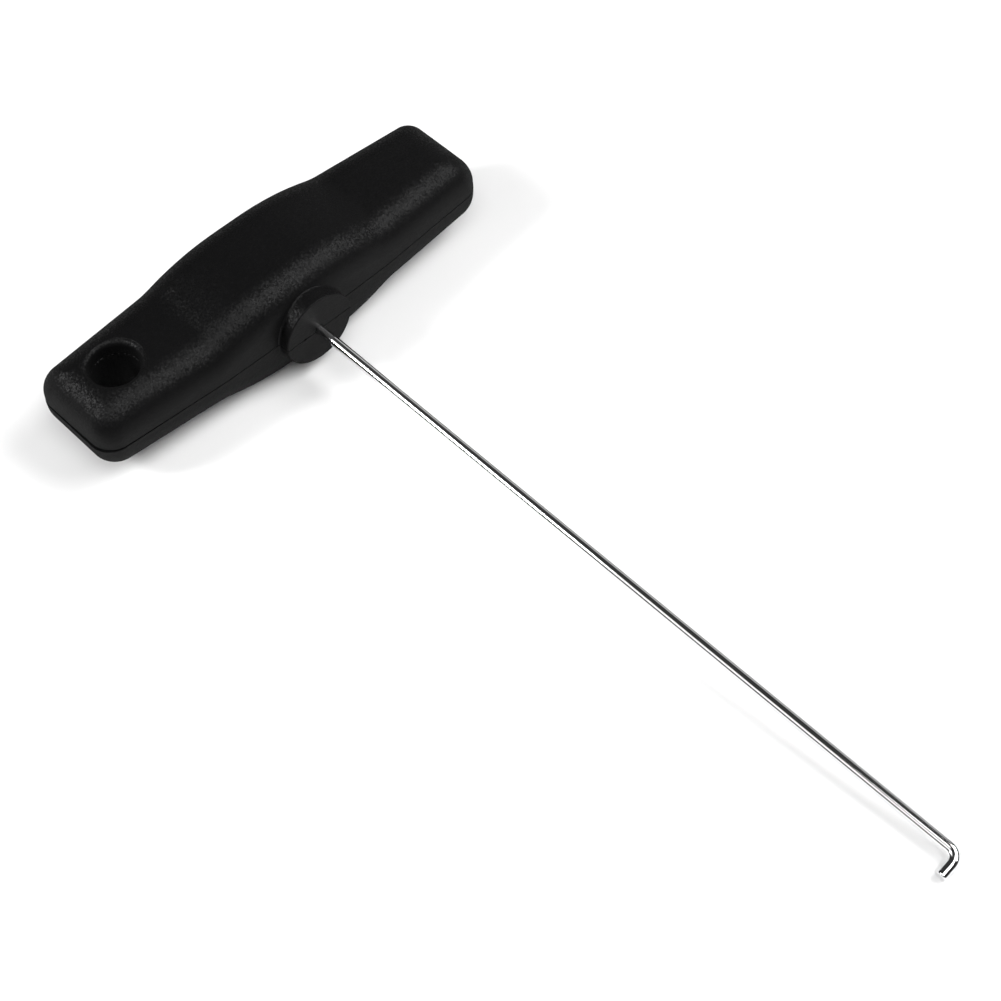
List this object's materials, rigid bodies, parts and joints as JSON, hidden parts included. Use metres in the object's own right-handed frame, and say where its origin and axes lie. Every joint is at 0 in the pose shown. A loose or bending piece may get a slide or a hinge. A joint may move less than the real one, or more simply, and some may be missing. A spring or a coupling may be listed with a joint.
{
  "type": "t-handle pull hook",
  "caption": "Hand tool with a hollow two-part moulded T handle, a hanging hole at one end and a long straight steel wire ending in a short turned hook.",
  "frame": {"origin": "middle of the small flat under the handle's crown", "axes": "+X along the handle away from the hanging hole, the wire leaves the handle towards -Y, +Z is the handle's thickness, up when it lies on its flat"},
  "size_m": [0.11, 0.2087, 0.0268],
  "materials": {
    "handle_plastic": "fine spark-eroded texture, slightly glossy",
    "polished_wire": "bright polished",
    "screw_steel": "zinc plated"
  },
  "bodies": {
    "root": {"upper_shell": "handle_plastic", "lower_shell": "handle_plastic", "hook_wire": "polished_wire", "case_screws": "screw_steel"}
  },
  "joints": []
}
